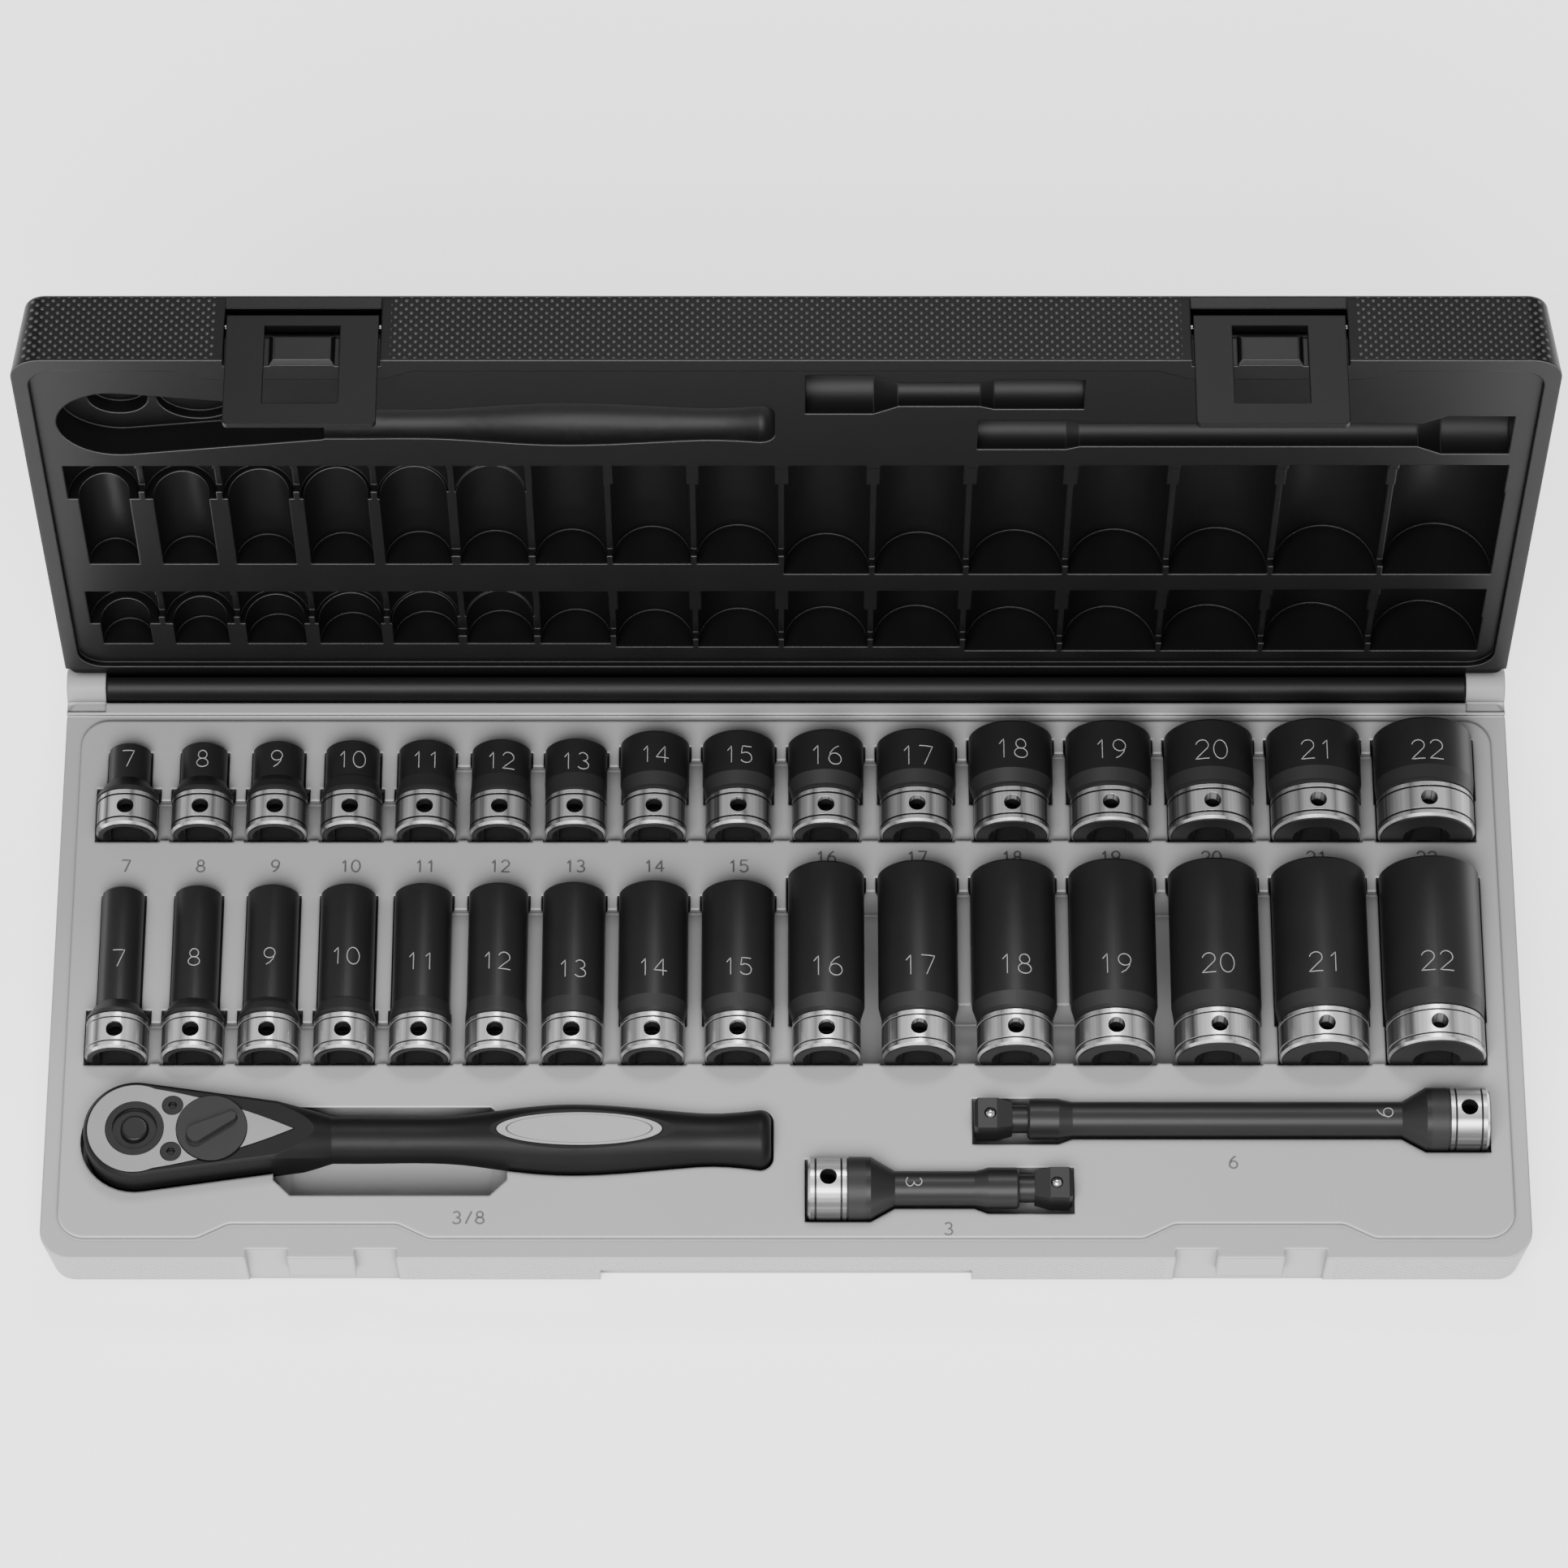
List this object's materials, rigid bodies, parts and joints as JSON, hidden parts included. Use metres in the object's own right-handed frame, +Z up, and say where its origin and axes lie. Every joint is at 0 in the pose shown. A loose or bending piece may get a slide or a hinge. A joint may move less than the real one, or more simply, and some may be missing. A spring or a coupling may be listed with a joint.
{
  "type": "socket wrench set in case",
  "caption": "Metric standard and deep sockets, a reversible ratchet and two extension bars lying in a moulded tray, with a hinged latching lid.",
  "frame": {"origin": "centre of the case base's underside", "axes": "+X to the right as the open case is used, +Y back towards the hinge, +Z up"},
  "size_m": [0.432, 0.2143, 0.2099],
  "materials": {
    "case_grey": "grained blow-moulded polyethylene",
    "case_black": "satin blow-moulded polyethylene",
    "latch_black": "satin moulded plastic",
    "pin_steel": "drawn",
    "socket_steel": "black phosphate with a polished band",
    "ratchet_black": "satin black",
    "plate_silver": "matt nickel",
    "ball_steel": "polished"
  },
  "bodies": {
    "base": {"case_base": "case_grey", "hinge_pins": "pin_steel"},
    "lid": {"case_lid": "case_black", "latch_pins": "pin_steel"},
    "latch_left": {"latch_left": "latch_black"},
    "latch_right": {"latch_right": "latch_black"},
    "ratchet": {"ratchet_body": "ratchet_black", "ratchet_plate": "plate_silver", "ratchet_screws": "ratchet_black", "ratchet_inlay": "plate_silver"},
    "ratchet_selector": {"ratchet_selector": "ratchet_black"},
    "ratchet_pawl": {"ratchet_pawl": "pin_steel"},
    "ratchet_drive": {"ratchet_drive": "ratchet_black"},
    "ratchet_button": {"ratchet_button": "ratchet_black"},
    "ratchet_ball": {"ratchet_ball": "ball_steel"},
    "extension_long": {"extension_long": "socket_steel"},
    "extension_long_ball": {"extension_long_ball": "ball_steel"},
    "extension_short": {"extension_short": "socket_steel"},
    "extension_short_ball": {"extension_short_ball": "ball_steel"},
    "socket_07": {"socket_07": "socket_steel"},
    "socket_08": {"socket_08": "socket_steel"},
    "socket_09": {"socket_09": "socket_steel"},
    "socket_10": {"socket_10": "socket_steel"},
    "socket_11": {"socket_11": "socket_steel"},
    "socket_12": {"socket_12": "socket_steel"},
    "socket_13": {"socket_13": "socket_steel"},
    "socket_14": {"socket_14": "socket_steel"},
    "socket_15": {"socket_15": "socket_steel"},
    "socket_16": {"socket_16": "socket_steel"},
    "socket_17": {"socket_17": "socket_steel"},
    "socket_18": {"socket_18": "socket_steel"},
    "socket_19": {"socket_19": "socket_steel"},
    "socket_20": {"socket_20": "socket_steel"},
    "socket_21": {"socket_21": "socket_steel"},
    "socket_22": {"socket_22": "socket_steel"},
    "deep_socket_07": {"deep_socket_07": "socket_steel"},
    "deep_socket_08": {"deep_socket_08": "socket_steel"},
    "deep_socket_09": {"deep_socket_09": "socket_steel"},
    "deep_socket_10": {"deep_socket_10": "socket_steel"},
    "deep_socket_11": {"deep_socket_11": "socket_steel"},
    "deep_socket_12": {"deep_socket_12": "socket_steel"},
    "deep_socket_13": {"deep_socket_13": "socket_steel"},
    "deep_socket_14": {"deep_socket_14": "socket_steel"},
    "deep_socket_15": {"deep_socket_15": "socket_steel"},
    "deep_socket_16": {"deep_socket_16": "socket_steel"},
    "deep_socket_17": {"deep_socket_17": "socket_steel"},
    "deep_socket_18": {"deep_socket_18": "socket_steel"},
    "deep_socket_19": {"deep_socket_19": "socket_steel"},
    "deep_socket_20": {"deep_socket_20": "socket_steel"},
    "deep_socket_21": {"deep_socket_21": "socket_steel"},
    "deep_socket_22": {"deep_socket_22": "socket_steel"}
  },
  "joints": [
    {"name": "lid_hinge", "type": "hinge", "parent": "base", "child": "lid", "pos_m": [0, 0.095, 0.02215], "axis": [-1, 0, 0], "range_deg": [-91, 0]},
    {"name": "latch_left_swing", "type": "hinge", "parent": "lid", "child": "latch_left", "pos_m": [-0.1345, 0.11236, 0.20328], "axis": [-1, 0, 0], "range_deg": [-2, 75]},
    {"name": "latch_right_swing", "type": "hinge", "parent": "lid", "child": "latch_right", "pos_m": [0.1345, 0.11236, 0.20328], "axis": [-1, 0, 0], "range_deg": [-2, 75]},
    {"name": "ratchet_lift", "type": "slide", "parent": "base", "child": "ratchet", "axis": [0, 0, 1], "range_m": [0, 0.06]},
    {"name": "extension_long_lift", "type": "slide", "parent": "base", "child": "extension_long", "axis": [0, 0, 1], "range_m": [0, 0.06]},
    {"name": "extension_short_lift", "type": "slide", "parent": "base", "child": "extension_short", "axis": [0, 0, 1], "range_m": [0, 0.06]},
    {"name": "selector_turn", "type": "hinge", "parent": "ratchet", "child": "ratchet_selector", "pos_m": [-0.1666, -0.055, 0.0302], "axis": [0, 0, 1], "range_deg": [-56, 0]},
    {"name": "pawl_rock", "type": "hinge", "parent": "ratchet", "child": "ratchet_pawl", "pos_m": [-0.1752, -0.055, 0.02], "axis": [0, 0, 1], "range_deg": [-6.1, 0.1]},
    {"name": "drive_turn", "type": "hinge", "parent": "ratchet", "child": "ratchet_drive", "pos_m": [-0.189, -0.055, 0.02], "axis": [0, 0, 1], "continuous": true},
    {"name": "button_press", "type": "slide", "parent": "ratchet_drive", "child": "ratchet_button", "axis": [0, 0, -1], "range_m": [0, 0.0015], "stiffness_N_per_m": 600, "springref_m": -0.002},
    {"name": "ratchet_ball_press", "type": "slide", "parent": "ratchet_drive", "child": "ratchet_ball", "axis": [0, 1, 0], "range_m": [0, 0.0008], "stiffness_N_per_m": 500, "springref_m": -0.001},
    {"name": "extension_long_ball_press", "type": "slide", "parent": "extension_long", "child": "extension_long_ball", "axis": [0, 0, -1], "range_m": [0, 0.0008], "stiffness_N_per_m": 500, "springref_m": -0.001},
    {"name": "extension_short_ball_press", "type": "slide", "parent": "extension_short", "child": "extension_short_ball", "axis": [0, 0, -1], "range_m": [0, 0.0008], "stiffness_N_per_m": 500, "springref_m": -0.001},
    {"name": "socket_07_lift", "type": "slide", "parent": "base", "child": "socket_07", "axis": [0, 0, 1], "range_m": [0, 0.06]},
    {"name": "socket_08_lift", "type": "slide", "parent": "base", "child": "socket_08", "axis": [0, 0, 1], "range_m": [0, 0.06]},
    {"name": "socket_09_lift", "type": "slide", "parent": "base", "child": "socket_09", "axis": [0, 0, 1], "range_m": [0, 0.06]},
    {"name": "socket_10_lift", "type": "slide", "parent": "base", "child": "socket_10", "axis": [0, 0, 1], "range_m": [0, 0.06]},
    {"name": "socket_11_lift", "type": "slide", "parent": "base", "child": "socket_11", "axis": [0, 0, 1], "range_m": [0, 0.06]},
    {"name": "socket_12_lift", "type": "slide", "parent": "base", "child": "socket_12", "axis": [0, 0, 1], "range_m": [0, 0.06]},
    {"name": "socket_13_lift", "type": "slide", "parent": "base", "child": "socket_13", "axis": [0, 0, 1], "range_m": [0, 0.06]},
    {"name": "socket_14_lift", "type": "slide", "parent": "base", "child": "socket_14", "axis": [0, 0, 1], "range_m": [0, 0.06]},
    {"name": "socket_15_lift", "type": "slide", "parent": "base", "child": "socket_15", "axis": [0, 0, 1], "range_m": [0, 0.06]},
    {"name": "socket_16_lift", "type": "slide", "parent": "base", "child": "socket_16", "axis": [0, 0, 1], "range_m": [0, 0.06]},
    {"name": "socket_17_lift", "type": "slide", "parent": "base", "child": "socket_17", "axis": [0, 0, 1], "range_m": [0, 0.06]},
    {"name": "socket_18_lift", "type": "slide", "parent": "base", "child": "socket_18", "axis": [0, 0, 1], "range_m": [0, 0.06]},
    {"name": "socket_19_lift", "type": "slide", "parent": "base", "child": "socket_19", "axis": [0, 0, 1], "range_m": [0, 0.06]},
    {"name": "socket_20_lift", "type": "slide", "parent": "base", "child": "socket_20", "axis": [0, 0, 1], "range_m": [0, 0.06]},
    {"name": "socket_21_lift", "type": "slide", "parent": "base", "child": "socket_21", "axis": [0, 0, 1], "range_m": [0, 0.06]},
    {"name": "socket_22_lift", "type": "slide", "parent": "base", "child": "socket_22", "axis": [0, 0, 1], "range_m": [0, 0.06]},
    {"name": "deep_socket_07_lift", "type": "slide", "parent": "base", "child": "deep_socket_07", "axis": [0, 0, 1], "range_m": [0, 0.06]},
    {"name": "deep_socket_08_lift", "type": "slide", "parent": "base", "child": "deep_socket_08", "axis": [0, 0, 1], "range_m": [0, 0.06]},
    {"name": "deep_socket_09_lift", "type": "slide", "parent": "base", "child": "deep_socket_09", "axis": [0, 0, 1], "range_m": [0, 0.06]},
    {"name": "deep_socket_10_lift", "type": "slide", "parent": "base", "child": "deep_socket_10", "axis": [0, 0, 1], "range_m": [0, 0.06]},
    {"name": "deep_socket_11_lift", "type": "slide", "parent": "base", "child": "deep_socket_11", "axis": [0, 0, 1], "range_m": [0, 0.06]},
    {"name": "deep_socket_12_lift", "type": "slide", "parent": "base", "child": "deep_socket_12", "axis": [0, 0, 1], "range_m": [0, 0.06]},
    {"name": "deep_socket_13_lift", "type": "slide", "parent": "base", "child": "deep_socket_13", "axis": [0, 0, 1], "range_m": [0, 0.06]},
    {"name": "deep_socket_14_lift", "type": "slide", "parent": "base", "child": "deep_socket_14", "axis": [0, 0, 1], "range_m": [0, 0.06]},
    {"name": "deep_socket_15_lift", "type": "slide", "parent": "base", "child": "deep_socket_15", "axis": [0, 0, 1], "range_m": [0, 0.06]},
    {"name": "deep_socket_16_lift", "type": "slide", "parent": "base", "child": "deep_socket_16", "axis": [0, 0, 1], "range_m": [0, 0.06]},
    {"name": "deep_socket_17_lift", "type": "slide", "parent": "base", "child": "deep_socket_17", "axis": [0, 0, 1], "range_m": [0, 0.06]},
    {"name": "deep_socket_18_lift", "type": "slide", "parent": "base", "child": "deep_socket_18", "axis": [0, 0, 1], "range_m": [0, 0.06]},
    {"name": "deep_socket_19_lift", "type": "slide", "parent": "base", "child": "deep_socket_19", "axis": [0, 0, 1], "range_m": [0, 0.06]},
    {"name": "deep_socket_20_lift", "type": "slide", "parent": "base", "child": "deep_socket_20", "axis": [0, 0, 1], "range_m": [0, 0.06]},
    {"name": "deep_socket_21_lift", "type": "slide", "parent": "base", "child": "deep_socket_21", "axis": [0, 0, 1], "range_m": [0, 0.06]},
    {"name": "deep_socket_22_lift", "type": "slide", "parent": "base", "child": "deep_socket_22", "axis": [0, 0, 1], "range_m": [0, 0.06]}
  ],
  "couplings": [
    {"joint": "pawl_rock", "follows": "selector_turn", "ratio": 0.10714}
  ]
}
